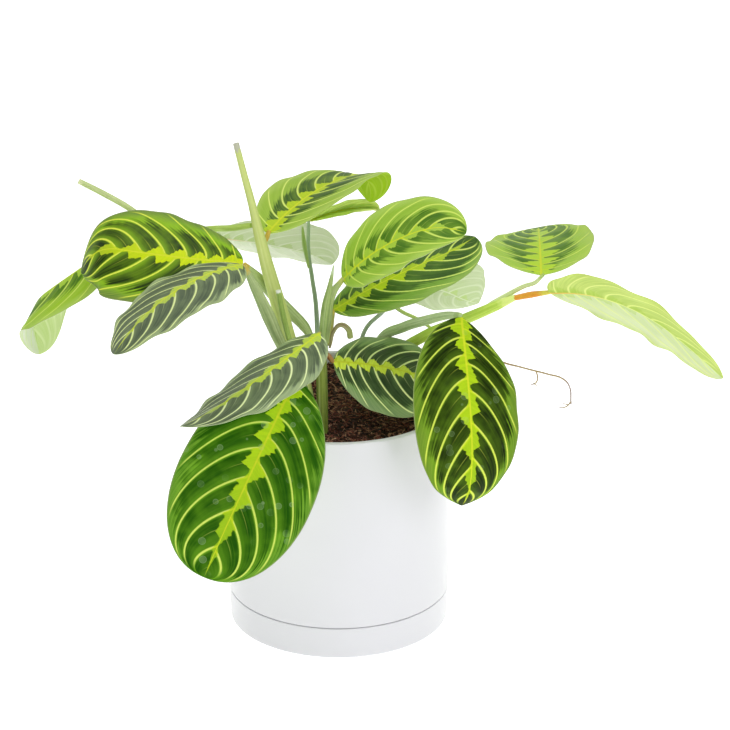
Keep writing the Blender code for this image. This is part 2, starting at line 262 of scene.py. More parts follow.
def turned(name, outline, closed):
    """A smooth body turned about Z from (radius, height) points. An open outline ends on the axis."""
    shape = bmesh.new()
    rings = []
    for r, z in outline:
        if r < 1e-6:
            rings.append([shape.verts.new((0, 0, z * MM))] * TURNED_SIDES)
            continue
        angles = [2 * math.pi * i / TURNED_SIDES for i in range(TURNED_SIDES)]
        rings.append([shape.verts.new((r * MM * math.cos(a), r * MM * math.sin(a), z * MM)) for a in angles])
    if closed:
        rings.append(rings[0])
    for low, high in zip(rings, rings[1:]):
        for i in range(TURNED_SIDES):
            j = (i + 1) % TURNED_SIDES
            loop = [low[i], low[j], high[j], high[i]]
            shape.faces.new(list(dict.fromkeys(loop)))
    return finished(name, shape)


def glaze():
    """White glaze: glossy, and a little uneven in tone and surface."""
    material, tree, surface, place = new_material("white_glaze")
    cloud = grain(place, 9, 3)
    waves = grain(place, 55, 2)
    bump = add_node(tree, "ShaderNodeBump", {"Height": waves, "Strength": 0.015, "Distance": 0.001})
    set_inputs(surface, Base_Color=mixed(cloud, tint("d6d6da"), tint("d8d8dc")),
               Roughness=linear(waves, 0.04, 0.27), Specular_IOR_Level=0.5,
               Coat_Weight=0.6, Coat_Roughness=0.06, Normal=bump)
    return material


def place_piece(piece, node, material=None):
    """Finishes a piece that stands for a CAD node."""
    if material:
        piece.data.materials.append(material)
    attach(piece, "root")
    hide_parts(node)


white_glaze = glaze()
saucer_low, saucer_high = (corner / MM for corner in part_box("saucer"))
saucer_rim = saucer_high.x
saucer_foot = saucer_rim - SAUCER_FLARE
saucer = turned("saucer_dish", rounded([
    (0, SAUCER_FLOOR, 0),
    (saucer_foot - SAUCER_WALL, SAUCER_FLOOR, SAUCER_CORNER),
    (saucer_rim - SAUCER_WALL, saucer_high.z, LIP_EASE),
    (saucer_rim, saucer_high.z, LIP_EASE),
    (saucer_foot, saucer_low.z, SAUCER_FOOT_EASE),
    (0, saucer_low.z, 0),
]), closed=False)
place_piece(saucer, "saucer", white_glaze)


# ---- Pot ---------------------------------------------------------------------------------------------
# A plain cylinder of the same stoneware, a little wider at the rim than above the saucer. Its narrower
# foot stands inside the saucer, on the saucer's floor, and has one drainage hole.

POT_WALL = 3.4
POT_FLOOR = 4.5
POT_FLARE = 3.2
POT_FOOT_STEP = 4.8
SEAM = 0.5
SHOULDER_SLOPE = 12.0
INNER_CORNER = 4.0
DRAIN_RADIUS = 6.0
FOOT_EASE = 2.0
POT_LIP_EASE = LIP_EASE * 1.4

pot_low, pot_high = (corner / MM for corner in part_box("pot"))
shoulder = saucer_high.z + SEAM
pot_rim = pot_high.x
pot_shoulder = pot_rim - POT_FLARE
pot_foot = pot_shoulder - POT_FOOT_STEP


def pot_inside(z):
    """Inner radius of the pot at height z, above the slope over its foot."""
    return pot_shoulder - POT_WALL + POT_FLARE * (z - shoulder) / (pot_high.z - shoulder)


pot = turned("pot_cylinder", rounded([
    (pot_inside(pot_high.z), pot_high.z, POT_LIP_EASE),
    (pot_rim, pot_high.z, POT_LIP_EASE),
    (pot_shoulder, shoulder, LIP_EASE),
    (pot_foot, shoulder, LIP_EASE),
    (pot_foot, pot_low.z, FOOT_EASE),
    (DRAIN_RADIUS, pot_low.z, LIP_EASE),
    (DRAIN_RADIUS, pot_low.z + POT_FLOOR, LIP_EASE),
    (pot_foot - POT_WALL, pot_low.z + POT_FLOOR, INNER_CORNER),
    (pot_foot - POT_WALL, shoulder, LIP_EASE),
    (pot_inside(shoulder + SHOULDER_SLOPE), shoulder + SHOULDER_SLOPE, LIP_EASE),
]), closed=True)
place_piece(pot, "pot", white_glaze)


# ---- Soil --------------------------------------------------------------------------------------------
# Damp peat and coconut fibre that fills the pot to just under its rim. Its top is a lumpy crust with
# loose fibres and crumbs strewn over it.

SOIL_GAP = 0.6
SOIL_RINGS = 56
SOIL_SIDES = 160
SOIL_LUMPS = 1.5
RING_CROWDING = 0.8
CRUST_DEPTH = 20  # from the top to where the plug's side starts to follow the pot
CRUST_TAPER = 1
FIBRES_PER_M2 = 190000
CRUMBS_PER_M2 = 120000
FIBRE_LENGTH = (3.0, 10.0)
CRUMB_SIZE = (0.4, 1.3)
LITTER_EDGE = 67.8  # radius, a little inside the pot's wall

soil_low, soil_high = (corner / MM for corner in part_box("soil"))


def soil_height(x, y):
    """Height of the crust: broad lumps with smaller ones on them."""
    broad = noise.noise(Vector((x, y, 0)) * 0.11)
    small = noise.noise(Vector((x, y, 9)) * 0.42)
    fine = noise.noise(Vector((x, y, 21)) * 1.1)
    return soil_high.z - SOIL_LUMPS + SOIL_LUMPS * (0.9 * broad + 0.6 * small + 0.3 * fine)


def soil_body():
    """A plug down to the pot's floor, under a displaced top."""
    radius = pot_inside(soil_high.z) - SOIL_GAP
    shape = bmesh.new()
    middle = shape.verts.new(Vector((0, 0, soil_height(0, 0))) * MM)
    rings = []
    for ring in range(1, SOIL_RINGS + 1):
        r = radius * (ring / SOIL_RINGS) ** RING_CROWDING
        verts = []
        for side in range(SOIL_SIDES):
            angle = 2 * math.pi * side / SOIL_SIDES
            x, y = r * math.cos(angle), r * math.sin(angle)
            verts.append(shape.verts.new(Vector((x, y, soil_height(x, y))) * MM))
        rings.append(verts)
    foot, slope_top = pot_foot - POT_WALL - SOIL_GAP, shoulder + SHOULDER_SLOPE
    for r, z in ((radius - CRUST_TAPER, soil_high.z - CRUST_DEPTH),
                 (pot_inside(slope_top) - SOIL_GAP, slope_top), (foot, shoulder),
                 (foot, soil_low.z + INNER_CORNER), (foot - INNER_CORNER, soil_low.z)):
        angles = [2 * math.pi * side / SOIL_SIDES for side in range(SOIL_SIDES)]
        rings.append([shape.verts.new(Vector((r * math.cos(a), r * math.sin(a), z)) * MM) for a in angles])
    bottom = shape.verts.new(Vector((0, 0, soil_low.z)) * MM)
    for i in range(SOIL_SIDES):
        j = (i + 1) % SOIL_SIDES
        shape.faces.new((middle, rings[0][i], rings[0][j]))
        shape.faces.new((bottom, rings[-1][j], rings[-1][i]))
        for inner, outer in zip(rings, rings[1:]):
            shape.faces.new((inner[i], outer[i], outer[j], inner[j]))
    return finished("soil_crust", shape)


def peat():
    material, tree, surface, place = new_material("peat")
    lumps = grain(place, 260, 5)
    patches = grain(place, 45, 2)
    dark = mixed(ramp(patches, 0.35, 0.7), tint("180e09"), tint("331b12"))
    set_inputs(surface, Base_Color=mixed(ramp(lumps, 0.42, 0.75), dark, tint("5e3a2b")),
               Roughness=linear(lumps, 0.2, 0.75), Specular_IOR_Level=0.25)
    bump = add_node(tree, "ShaderNodeBump", {"Height": lumps, "Strength": 0.8, "Distance": 0.0015})
    set_inputs(surface, Normal=bump)
    return material


def fibre_finish():
    """Each fibre or crumb has its own tone, from near black through red-brown to straw."""
    material, tree, surface, place = new_material("coconut_fibre")
    tone = stored(tree, "tone")
    dark = mixed(ramp(tone, 0.1, 0.6), tint("24140d"), tint("8c5040"))
    light = mixed(ramp(tone, 0.55, 0.95), dark, tint("c89c80"))
    streak = grain(place, 900, 2)
    set_inputs(surface, Base_Color=mixed(times(streak, 0.4), light, tint("1c100b")),
               Roughness=linear(streak, 0.2, 0.7), Specular_IOR_Level=0.25)
    return material


def new_group(name, kind, outputs, inputs):
    """A node group and what its inputs give. An input has a default value, or a kind of data."""
    tree = bpy.data.node_groups.new(name, kind + "NodeTree")
    socket = tree.interface.new_socket
    for title in outputs:
        socket(title, in_out="OUTPUT", socket_type="NodeSocket" + ("Float" if kind == "Shader" else kind))
    for title, value in inputs.items():
        data = value if isinstance(value, str) else "Int" if isinstance(value, int) else "Float"
        made = socket(title, in_out="INPUT", socket_type="NodeSocket" + data)
        if data != value:
            made.default_value = value
    return tree, add_node(tree, "NodeGroupInput").outputs


def random_value(tree, low, high, seed):
    kind = "FLOAT_VECTOR" if isinstance(low, tuple) else "FLOAT"
    node = add_node(tree, "FunctionNodeRandomValue", data_type=kind)
    first = 0 if kind == "FLOAT_VECTOR" else 2
    for key, value in ((first, low), (first + 1, high), ("Seed", seed)):
        feed(node.inputs[key], value)
    return node.outputs[0 if kind == "FLOAT_VECTOR" else 1]


def litter_tree():
    """Strews fibres and crumbs over the faces that it is given, each with a tone of its own."""
    tree, given = new_group("soil_litter", "Geometry", ["Geometry"], {
        "Ground": "Geometry", "Fibre Density": 1000.0, "Crumb Density": 1000.0, "Shortest": 0.002,
        "Longest": 0.008, "Smallest": 0.0005, "Largest": 0.0015, "Wall Radius": 0.067, "Finish": "Material"})
    bow = add_node(tree, "GeometryNodeCurveQuadraticBezier",
                   {"Resolution": 5, "Start": (-0.5, 0, -0.05), "Middle": (0.05, 0.3, 0.12),
                    "End": (0.5, 0, 0)})
    section = add_node(tree, "GeometryNodeCurvePrimitiveCircle", {"Resolution": 3, "Radius": 0.045})
    strand = add_node(tree, "GeometryNodeCurveToMesh",
                      {"Curve": bow, "Profile Curve": section, "Fill Caps": True})
    crumb = add_node(tree, "GeometryNodeMeshIcoSphere", {"Radius": 1.0, "Subdivisions": 1})
    kinds = (
        (strand, given["Fibre Density"], given["Shortest"], given["Longest"], 0.5, 11),
        (crumb, given["Crumb Density"], given["Smallest"], given["Largest"], 3.1, 37),
    )
    joined = add_node(tree, "GeometryNodeJoinGeometry")
    for instance, density, least, most, tip, seed in kinds:
        points = add_node(tree, "GeometryNodeDistributePointsOnFaces",
                          {"Mesh": given["Ground"], "Density": density, "Seed": seed})
        turn = random_value(tree, (-tip, -tip, 0.0), (tip, tip, 6.283), seed + 1)
        size = random_value(tree, least, most, seed + 2)
        stretch = random_value(tree, (0.8, 0.6, 0.6), (1.0, 1.0, 1.0), seed + 3)
        scale = add_node(tree, "ShaderNodeVectorMath", {0: stretch, "Scale": size}, operation="SCALE")
        placed = add_node(tree, "GeometryNodeInstanceOnPoints",
                          {"Points": points, "Instance": instance, "Rotation": turn,
                           "Scale": scale})
        toned = add_node(tree, "GeometryNodeStoreNamedAttribute",
                         {"Geometry": placed, "Name": "tone",
                          "Value": random_value(tree, 0.0, 1.0, seed + 4)},
                         data_type="FLOAT", domain="INSTANCE")
        feed(joined.inputs[0], toned)
    real = add_node(tree, "GeometryNodeRealizeInstances", {0: joined})
    place = add_node(tree, "GeometryNodeInputPosition").outputs[0]
    across = add_node(tree, "ShaderNodeVectorMath", {0: place, 1: (1, 1, 0)}, operation="MULTIPLY").outputs[0]
    reach = add_node(tree, "ShaderNodeVectorMath", {0: across}, operation="LENGTH").outputs["Value"]
    inward = calc("MINIMUM", calc("DIVIDE", given["Wall Radius"], reach), 1.0)
    factor = add_node(tree, "ShaderNodeCombineXYZ", {"X": inward, "Y": inward, "Z": 1.0}).outputs[0]
    kept = add_node(tree, "ShaderNodeVectorMath", {0: place, 1: factor}, operation="MULTIPLY").outputs[0]
    bent = add_node(tree, "GeometryNodeSetPosition", {"Geometry": real, "Position": kept})
    painted = add_node(tree, "GeometryNodeSetMaterial", {"Geometry": bent, "Material": given["Finish"]})
    add_node(tree, "NodeGroupOutput", {0: painted})
    return tree


def grown(name, source, tree, **inputs):
    """The plain mesh object that a Geometry Nodes tree makes from a source object's data."""
    holder = new_object(name + "_source", source)
    modifier = holder.modifiers.new("make", "NODES")
    modifier.node_group = tree
    for item in tree.interface.items_tree:
        key = item.name.replace(" ", "_")
        if item.item_type == "SOCKET" and item.in_out == "INPUT" and key in inputs:
            modifier[item.identifier] = inputs[key]
    bpy.context.view_layer.update()
    graph = bpy.context.evaluated_depsgraph_get()
    mesh = bpy.data.meshes.new_from_object(holder.evaluated_get(graph), depsgraph=graph)
    mesh.name = name
    holder.modifiers.clear()
    bpy.data.objects.remove(holder)
    return new_object(name, mesh)


def soil_ground():
    """The crust's own top faces, where litter can lie."""
    shape = bmesh.new()
    shape.from_mesh(soil.data)
    lowest = (soil_high.z - 4 * SOIL_LUMPS) * MM
    buried = [face for face in shape.faces if face.calc_center_median().z < lowest]
    bmesh.ops.delete(shape, geom=buried, context="FACES")
    mesh = bpy.data.meshes.new("soil_ground")
    shape.to_mesh(mesh)
    shape.free()
    return mesh


soil = soil_body()
place_piece(soil, "soil", peat())
litter = grown("soil_litter", soil_ground(), litter_tree(), Fibre_Density=FIBRES_PER_M2,
               Crumb_Density=CRUMBS_PER_M2, Shortest=FIBRE_LENGTH[0] * MM, Longest=FIBRE_LENGTH[1] * MM,
               Smallest=CRUMB_SIZE[0] * MM, Largest=CRUMB_SIZE[1] * MM, Wall_Radius=LITTER_EDGE * MM,
               Finish=fibre_finish())
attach(litter, "root")


# ---- Stems -------------------------------------------------------------------------------------------
# Canes, leaf stalks and sheaths, all grown: a sheath is a rolled flap whose free edge shows as a fine
# line, and a stalk ends in a smooth orange-brown joint that carries the blade. Some canes were cut.

STEM_SIDES = 22
STEM_STEP = 1.0
STEM_OVERLAP = 2.6
STEM_OVERLAP_TAPER = 0.8

Stem = namedtuple("Stem", "route skin other joint lap turn joint_from cut",
                  defaults=("5d7a3c", None, 0.0, 0, 0.86, False))

STEMS = {
    "stem_main": Stem([(-9.5, -38, 127, 3.2), (-9.5, -38, 140, 3.2), (-9.5, -35.5, 160, 3.2),
        (-10, -31, 178, 3.2), (-10.5, -28.5, 190, 3)], "84933f", "5c6c26", None, 0.16, 250),
    "cane_tall": Stem([(-15.5, -31, 127, 2.4), (-15.5, -31, 140, 2.4), (-20, -28, 166, 3.6),
        (-29, -25, 191, 4.6), (-35, -22, 213, 4.4), (-41.5, -19, 236, 3.9), (-46.5, -17, 256, 3.2),
        (-51.5, -14, 278, 2.2), (-57, -10, 299, 1.9), (-61, -8, 315.2, 1.7)], "ccd884", "b8c86c", "b8baa2",
        0.14, 265, 0.97, cut=True),
    "stalk_top": Stem([(-43, -13.6, 256.4, 1.5), (-42.3, -12.7, 258.2, 1.5)], "ccc050", "c0983c"),
    "stub_cut": Stem([(-29.5, -36.5, 200, 1.6), (-33, -34, 214, 1.7), (-36, -31, 229.5, 1.5)], "a4c064",
        "78943e", "eef0e4", 0.0, 0, 0.93, cut=True),
    "stalk_lower_left": Stem([(-17.5, -39, 160, 1.8), (-25, -39.5, 180, 3), (-34.5, -38.5, 198, 3.2),
        (-41.5, -38, 215, 3.8), (-49.5, -38.5, 234, 2.8), (-55, -38, 246, 1.5)], "b0c086", "7c925a",
        "c4b058", 0.15, 210, 0.93),
    "stalk_upper_left": Stem([(-16, -22, 194, 1.8), (-20.5, -17, 200, 3), (-28.5, -11.5, 206.5, 3.4),
        (-38.5, -8, 216, 3.4), (-48, -13.5, 230, 3), (-55, -21, 241, 1.5)], "c0d28c", "90a868", "ccb450",
        0.15, 240, 0.93),
    "stalk_top_young": Stem([(-12.5, -21.5, 196, 1.4), (-13.5, -8, 210, 1.3), (-16, 14, 219, 1.2),
        (-18.5, 36, 228, 1.2), (-18.5, 53, 238.5, 1)], "acc0a2", "8aa282", None, 0.1, 200),
    "sheath_top_young": Stem([(-18.5, 19, 226, 0.8), (-21, 33, 234, 1.3), (-22.5, 46, 243, 0.4)], "a9bf78",
        "88a458", "dfe8c8", 0.2, 180, cut=True),
    "leaf_spear": Stem([(-9, -33.5, 194, 1.4), (-8.5, -32, 208, 2.3), (-7, -31, 220, 2.3),
        (-4.5, -29.5, 233, 1.3), (-2.5, -28, 244.5, 0.4)], "a4ba70", "7c9650", "c3d6a8", 0.22, 290,
        cut=True),
    "stalk_centre_upper": Stem([(-7, -26, 195.5, 1.6), (-6, -24, 210, 2.4), (-3, -21.5, 224, 2.2),
        (1.8, -18.6, 230, 1.5)], "acbf78", "84985c", "b8c068", 0.14, 300),
    "stalk_centre_lower": Stem([(-6, -21.5, 192, 1.4), (-5, -14, 198.5, 2.2), (-3.6, -4.5, 203, 1.6)],
        "a0a65c", "8a8444", "c0b048", 0.1, 270, 0.8),
    "dry_curl": Stem([(-4.5, -33, 195, 0.8), (-2.5, -34, 204, 1.1), (1.5, -35, 208.5, 1.4),
        (6, -35, 206, 1.7), (7.5, -34, 200, 1.8)], "9a9c6c", "7c6c48", "8f9a58", 0.1, 260, 0.7, cut=True),
    "stalk_front_left": Stem([(-11, -38, 196, 1.6), (-11.5, -42, 202, 1.8), (-11.3, -45, 206, 1.3)],
        "6d8a55", "50704a", "b0a860", 0.1, 260),
    "stalk_over_soil": Stem([(-5.6, -26, 184, 1.6), (-4.2, -24.6, 181.2, 1.5)], "b08a58", "a0623c"),
    "stalk_lower_front": Stem([(-15.5, -43.5, 127, 1.8), (-15.5, -43.5, 140, 1.8), (-15.5, -46, 155, 1.8),
        (-18.5, -53, 171, 2), (-24, -61.8, 185, 1.4)], "64803c", "4c6636", "a8a048", 0.12, 270),
    "cane_front_right": Stem([(24, 20, 127, 2.8), (24, 20, 140, 2.8), (22.5, 19, 160, 3), (27, 18, 177, 3),
        (40, 8.5, 188.5, 3), (53, -12, 201.5, 2.9), (65, -35, 214.5, 2.4), (72.5, -53, 222.5, 1.6)],
        "ccdea8", "98b478", "a8c07c", 0.15, 300, 0.95),
    "stalk_behind_centre": Stem([(14.5, 25, 127, 1.3), (14.5, 25, 140, 1.3), (13.5, 25, 164, 1.3),
        (16.5, 27, 179, 1.2), (28.5, 33, 190, 1.2), (40, 41, 204, 1.1)], "aec0a6", "8ca286", "b8c088", 0.1,
        250),
    "cane_right": Stem([(34, 30, 127, 2.8), (34, 30, 140, 2.8), (37.5, 27, 162, 3.1), (53, 18, 178.5, 3.3),
        (68.5, 14, 187.5, 3.3), (83.5, 11, 195.5, 3.3), (97.5, 9, 203, 3), (106, 8, 207.5, 2)], "cce468",
        "aacc48", "dcec88", 0.13, 300, 0.9),
    "stalk_thin_pale": Stem([(57.5, 24, 181, 0.9), (49, 27, 186, 1.1), (39, 31, 189.5, 1.2),
        (28.5, 41, 194, 0.9)], "cfe090", "b8d070"),
    "stalk_right_upper": Stem([(94, 10.5, 203.4, 1.6), (103.5, 11.5, 208.8, 1.5), (113.5, 11.5, 214.5, 1.3),
        (120.5, 9.5, 218, 1.2), (123.8, 10.6, 221, 1)], "d8e4ac", "b8cc7c", "b0c870", 0.1, 90),
    "stalk_far_right": Stem([(108.5, 7.5, 208.6, 1.7), (117.5, 7.5, 210.5, 2), (127.6, 8, 211.8, 1.4)],
        "dc8a2c", "dca838", "d8cc54", 0.0, 0, 0.62),
    "cane_left": Stem([(-54, -9, 262.5, 1.7), (-64, 1, 257, 1.9), (-78, 18, 249.5, 1.9),
        (-95, 29, 243, 1.8), (-113, 34, 239, 1.6), (-129.5, 34, 238.5, 1.2)], "bcd868", "a0c054", "c8d86c",
        0.12, 100),
    "stalk_behind_left": Stem([(-80, 26, 245, 1.1), (-83, 37, 238.5, 1.2), (-82.3, 43.8, 234.6, 0.9)],
        "8fae52", "7a9a48", "b8c070"),
    "stalk_cut_left": Stem([(-112, 39, 241, 1.4), (-122, 42, 248.5, 1.7), (-129, 42, 254, 1.8),
        (-144.5, 42, 263.5, 1.8), (-159, 42, 271.5, 1.6)], "c6d494", "a9bc70", "d4dca4", 0.12, 80, 0.96,
        cut=True),
    "dry_runner": Stem([(76, 16, 186.5, 0.7), (87, 13, 173, 0.7), (98, 11, 165.5, 0.6), (113, 10, 161, 0.5),
        (129, 10, 156.5, 0.5), (138, 10, 153.5, 0.5), (142, 10, 149, 0.4), (143.5, 10, 136.5, 0.4)],
        "b8a878", "8f7050", "8a7464", 0.0, 0, 0.75, cut=True),
}
RUNNER_HOOKS = [
    [(121.5, 10, 158.8, 0.45), (122.5, 9.5, 155, 0.4), (121.8, 9, 151.5, 0.4), (118.5, 8.5, 150, 0.25)],
    [(119.8, 9, 150.8, 0.3), (122.5, 8.6, 149.4, 0.2)],
    [(143.4, 10, 138, 0.4), (140.5, 9.6, 134.8, 0.35), (136, 9.4, 134.2, 0.2)],
    [(141.6, 9.8, 136, 0.3), (138.5, 9.6, 137, 0.2)],
]


def stalk_tree():
    """Sweeps a round section along a curve that holds its own radius. The section's radius grows by the
    lap round one turn, so that the sheath's free edge stands proud as a step."""
    tree, given = new_group("stalk", "Geometry", ["Geometry"], {
        "Route": "Geometry", "Step": 0.001, "Sides": 16, "Lap": 0.0, "Turn": 0.0, "Finish": "Material"})
    points = add_node(tree, "GeometryNodeResampleCurve", {"Curve": given["Route"], "Length": given["Step"]},
                      mode="LENGTH")
    factor = add_node(tree, "GeometryNodeSplineParameter").outputs["Factor"]
    marked = add_node(tree, "GeometryNodeStoreNamedAttribute",
                      {"Geometry": points, "Name": "along", "Value": factor}, data_type="FLOAT")
    circle = add_node(tree, "GeometryNodeCurvePrimitiveCircle", {"Resolution": given["Sides"], "Radius": 1.0})
    spot = add_node(tree, "GeometryNodeInputPosition").outputs[0]
    section = add_node(tree, "GeometryNodeStoreNamedAttribute",
                       {"Geometry": circle, "Name": "around", "Value": spot}, data_type="FLOAT_VECTOR")
    swell = linear(factor, given["Lap"], 1.0)
    spiral = add_node(tree, "ShaderNodeVectorMath", {0: spot, "Scale": swell}, operation="SCALE")
    rolled = add_node(tree, "GeometryNodeSetPosition",
                      {"Geometry": section, "Position": spiral})
    turn = add_node(tree, "ShaderNodeCombineXYZ", {2: given["Turn"]})
    turned_section = add_node(tree, "GeometryNodeTransform",
                              {"Geometry": rolled, "Rotation": turn})
    radius = add_node(tree, "GeometryNodeInputRadius").outputs[0]
    swept = add_node(tree, "GeometryNodeCurveToMesh",
                     {"Curve": marked, "Profile Curve": turned_section, "Scale": radius,
                      "Fill Caps": True})
    real = add_node(tree, "GeometryNodeRealizeInstances", {0: swept})
    painted = add_node(tree, "GeometryNodeSetMaterial", {"Geometry": real, "Material": given["Finish"]})
    add_node(tree, "NodeGroupOutput", {0: painted})
    return tree


def stem_markings():
    """Fibres that run along a stem: how much of the second colour shows, a pale free edge, and relief."""
    tree, given = new_group("stem_markings", "Shader", ["Stripes", "Edge", "Height"], {"Lines": 6.0})
    around = stored(tree, "around", "Vector")
    along = stored(tree, "along")
    sides = split(around)
    ring = add_node(tree, "ShaderNodeCombineXYZ",
                    {0: times(sides[0], given["Lines"]),
                     1: times(sides[1], given["Lines"]),
                     2: times(along, 3.0)}).outputs[0]
    fine = grain(ring, 1.6, 2)
    broad = grain(ring, 0.35, 1)
    stripes = calc("ADD", ramp(fine, 0.35, 0.65), linear(broad, 3.0, -1.5))
    place = add_node(tree, "ShaderNodeTexCoord").outputs["Object"]
    blotch = grain(place, 420, 3)
    angle = calc("ARCTAN2", sides[1], sides[0])
    edge = ramp(calc("ABSOLUTE", calc("ADD", angle, 0.16)), 0.2, 0.05)
    shade = linear(blotch, 0.5, linear(stripes, 0.5, -0.1))
    add_node(tree, "NodeGroupOutput",
             {"Stripes": calc("MINIMUM", calc("MAXIMUM", shade, 0.0), 1.0), "Edge": edge,
              "Height": linear(blotch, 0.3, fine)})
    return tree


def stem_finish(name, stem):
    material, tree, surface, place = new_material("skin_of_" + name)
    marks = add_node(tree, "ShaderNodeGroup", node_tree=markings_of_stems, inputs={"Lines": 3.0}).outputs
    colour = mixed(marks["Stripes"], tint(stem.skin), tint(stem.other))
    if stem.lap:
        colour = mixed(times(marks["Edge"], 0.15), colour, tint("dfe8b8"))
    if stem.joint:
        along = stored(tree, "along")
        blotch = linear(grain(place, 500), 0.06, -0.03)
        near_joint = ramp(calc("ADD", along, blotch), stem.joint_from, (stem.joint_from + 1) / 2)
        colour = mixed(near_joint, colour, tint(stem.joint))
    bump = add_node(tree, "ShaderNodeBump", {"Height": marks["Height"], "Strength": 0.35, "Distance": 0.0004})
    set_inputs(surface, Base_Color=colour, Roughness=linear(marks["Height"], 0.15, 0.4),
               Specular_IOR_Level=0.2, Normal=bump)
    return material


def carried_on(end, before):
    """A point past the end of a route, where a grown stem runs into the next one."""
    end, before = Vector(end), Vector(before)
    onward = (end.xyz - before.xyz).normalized() * STEM_OVERLAP
    return (*(end.xyz + onward), end.w * STEM_OVERLAP_TAPER)


def route_curve(name, routes):
    """Smooth curves through (x, y, z, radius) points."""
    curve = bpy.data.curves.new(name, "CURVE")
    curve.dimensions = "3D"
    curve.resolution_u = 12
    for route in routes:
        spline = curve.splines.new("BEZIER")
        spline.bezier_points.add(len(route) - 1)
        for point, (x, y, z, radius) in zip(spline.bezier_points, route):
            point.co = Vector((x, y, z)) * MM
            point.radius = radius * MM
            point.handle_left_type = point.handle_right_type = "AUTO"
    return curve


markings_of_stems = stem_markings()
sweep = stalk_tree()
for stem_name, stem in STEMS.items():
    route = [carried_on(*stem.route[:2]), *stem.route]
    if not stem.cut:
        route.append(carried_on(*stem.route[:-3:-1]))
    routes = [route] + (RUNNER_HOOKS if stem_name == "dry_runner" else [])
    grown_stem = grown(stem_name + "_grown", route_curve(stem_name, routes), sweep, Step=STEM_STEP * MM,
                       Sides=STEM_SIDES, Lap=stem.lap, Turn=math.radians(stem.turn),
                       Finish=stem_finish(stem_name, stem))
    place_piece(grown_stem, stem_name)


# ---- Leaf blades -------------------------------------------------------------------------------------
# Thin oval blades, grown: a yellow midrib, pale veins that arch forward to the margin, a toothed lime
# band along the midrib and darker fields between the veins. The underside is pale; on some blades one
# half of it is whitened with painted sheen.

BLADE_ROWS = 112
BLADE_COLUMNS = 44
BLADE_THICKNESS = 0.45
MARGIN_THICKNESS = 0.16
MIDRIB_DEPTH = 0.9
MIDRIB_WIDTH = 1.3
QUILTING = 0.4
ROUTE_STEPS = 400
COLUMN_CROWDING = 0.86
VEINS_ONE_SIDE = (0.045, 0.055, 0.0075)  # where the first starts, step to the next, how the step grows
VEINS_OTHER_SIDE = (0.07, 0.052, 0.0105)
# The white of the painted sheen on one half of some undersides.
SHEEN_WHITE = "eef2e6"
RIB_COLOUR = "d4dc30"
RIB_NEAR_STALK = "e8b030"
VEIN_IN_BAND = "c4d828"
RIM_COLOUR = "a0a878"
DROP_MARK = "9ab884"

# half is how strongly the painted sheen whitens one half of a blade's underside.
Tones = namedtuple("Tones", "green dark margin band vein under under_vein reach spread depth lines slant "
                            "gloss spots half width",
                   defaults=("c4d8a4", "e0ebc8", 0.6, 0.28, 1.0, 0.4, 0.2, 0.08, 0.0, 0.0, 0.24))
VIVID = Tones("8cbe1a", "1e3209", "587a3a", "cedf08", "dce850", reach=0.76, spread=0.1, lines=0.45, slant=0.6)
# These greyed tones are partly the blades' own dark green and partly painted sheen: the grey that their upper
# sides take on from the bright room is painted into the colours.
GREYED_BY_SHEEN = Tones("889c6c", "4a5840", "8fa374", "bcd442", "dcea9c", reach=0.92, spread=0.1, lines=0.6, slant=0.3,
              gloss=0.15, width=0.22)
FRESH = Tones("93b63c", "3a5a20", "a2c054", "b8d024", "d2e470", width=0.28)
LIGHT = Tones("92ba3a", "426f18", "a4c658", "a6ca40", "cce264", reach=0.54, width=0.3)
DEEP = Tones("6c981e", "162404", "587e22", "b0d21c", "d0e056", reach=0.86, spread=-0.3, lines=0.34, slant=0.2,
             gloss=0.04, spots=0.5)
RICH = Tones("74b220", "1c5004", "4e8a20", "b8da22", "d4e866", reach=0.95, spread=-0.12, lines=0.36,
             slant=0.35, gloss=0.04, spots=1.0)

Leaf = namedtuple("Leaf", "length width heading pitch arch sweep roll twist fold cup curl curl_from widest "
                          "blunt tones shift flip wave",
                  defaults=(0, 0, 0, 0, 0, 2, 0, 0.65, 0.47, 0.59, FRESH, 0.0, False, 0.5))

